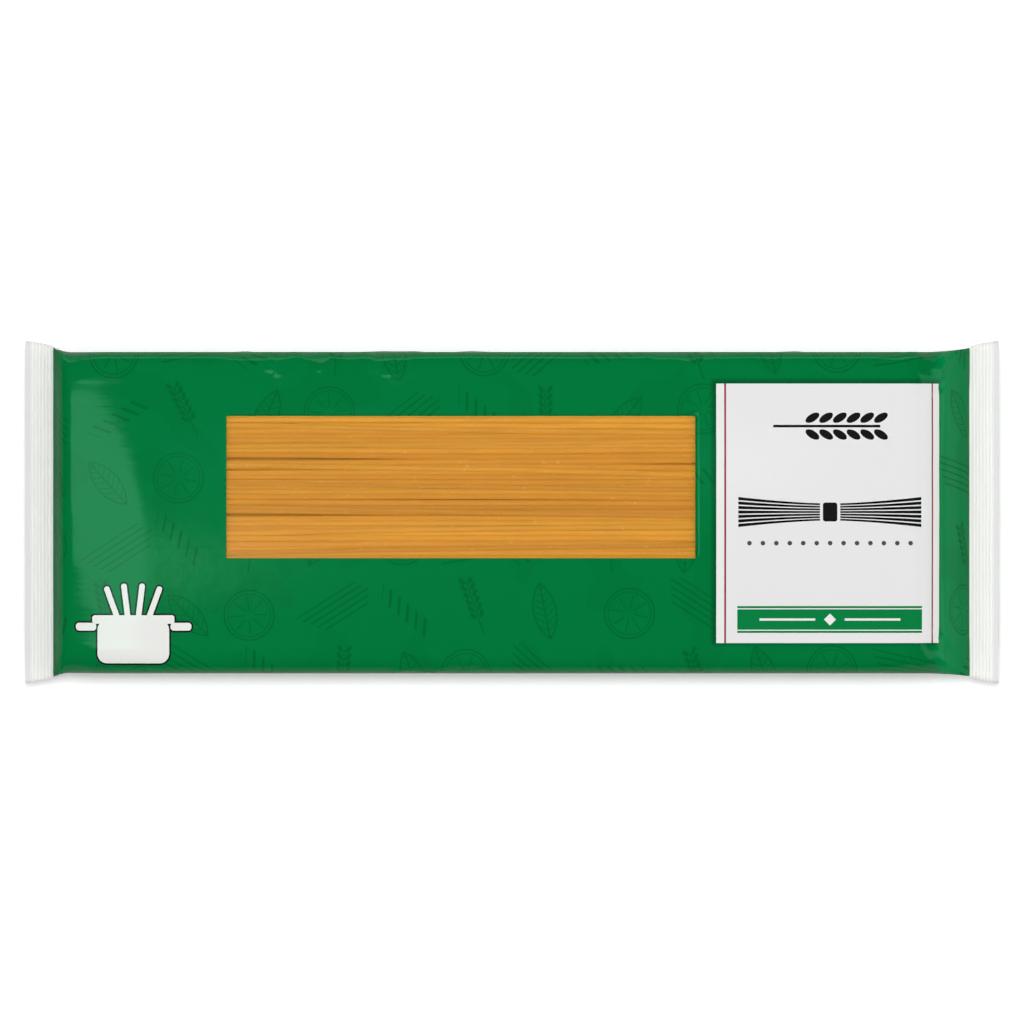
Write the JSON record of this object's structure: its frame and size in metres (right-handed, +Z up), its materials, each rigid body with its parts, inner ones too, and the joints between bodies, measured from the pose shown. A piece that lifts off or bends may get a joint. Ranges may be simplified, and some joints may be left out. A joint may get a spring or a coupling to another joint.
{
  "type": "pasta packet",
  "caption": "Flow-wrapped film pack of dry spaghetti lying on its back, with a clear window over the strands and crimped end seals.",
  "frame": {"origin": "on the floor under the middle of the pack", "axes": "+X along the strands towards the label end, +Y across the pack, +Z up out of the window side"},
  "size_m": [0.299, 0.1052, 0.0386],
  "materials": {
    "printed_film": "satin",
    "dry_pasta": "satin",
    "seal_film": "satin",
    "clear_film": "gloss"
  },
  "bodies": {
    "root": {"wrapper": "printed_film", "spaghetti": "dry_pasta"}
  },
  "joints": []
}
